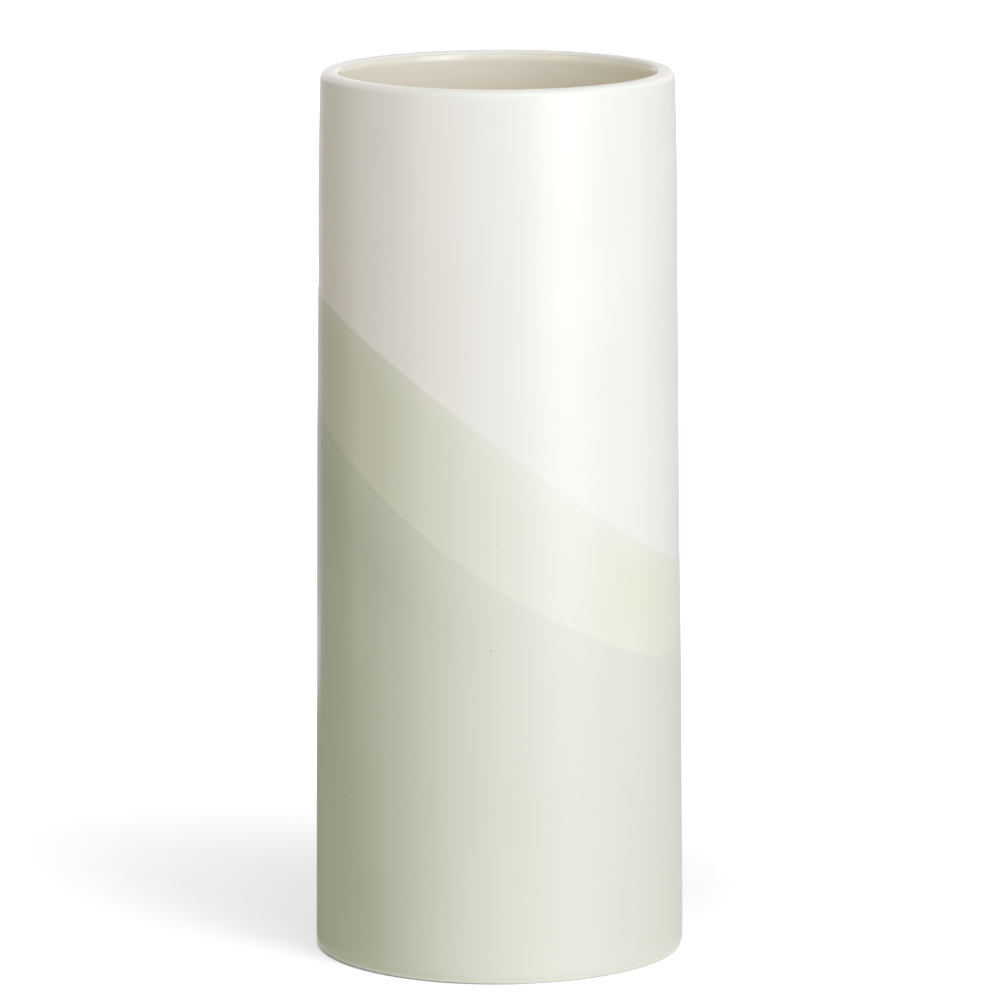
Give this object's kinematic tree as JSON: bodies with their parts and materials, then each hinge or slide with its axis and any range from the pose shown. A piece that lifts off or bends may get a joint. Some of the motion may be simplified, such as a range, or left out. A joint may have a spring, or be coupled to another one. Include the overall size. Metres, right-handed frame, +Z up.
{
  "type": "cylinder vase",
  "caption": "Tall slim cylinder vase of glazed ceramic, tapering slightly to a soft rolled rim, white above with pale green glaze laid on in overlapping slanted dips.",
  "frame": {"origin": "middle of the foot, on the surface that the vase stands on", "axes": "+Z up along the vase's axis; +X to the right and -Y to the front as the picture shows it, so the glaze lines run down towards +X"},
  "size_m": [0.1168, 0.1168, 0.28],
  "materials": {
    "bare_clay": "unglazed fired clay, dry and fine grained, wiped smooth on the foot ring",
    "cream_lining": "glossy warm cream glaze, poured inside",
    "white_glaze": "satin gloss off-white glaze with a soft wide highlight",
    "pale_green_glaze": "satin gloss pale yellowish green glaze, thinning towards its slanted line, with a few pinholes",
    "grey_green_glaze": "satin gloss greyish green glaze, deepest just below its slanted line, with a few pinholes",
    "underside_white": "off-white glaze in the hollow of the foot, brushed on and a little uneven"
  },
  "bodies": {
    "root": {"clay_body": "bare_clay", "lining_glaze": "cream_lining", "white_glaze": "white_glaze", "first_green_glaze": "pale_green_glaze", "second_green_glaze": "grey_green_glaze", "underside_glaze": "underside_white"}
  },
  "joints": []
}
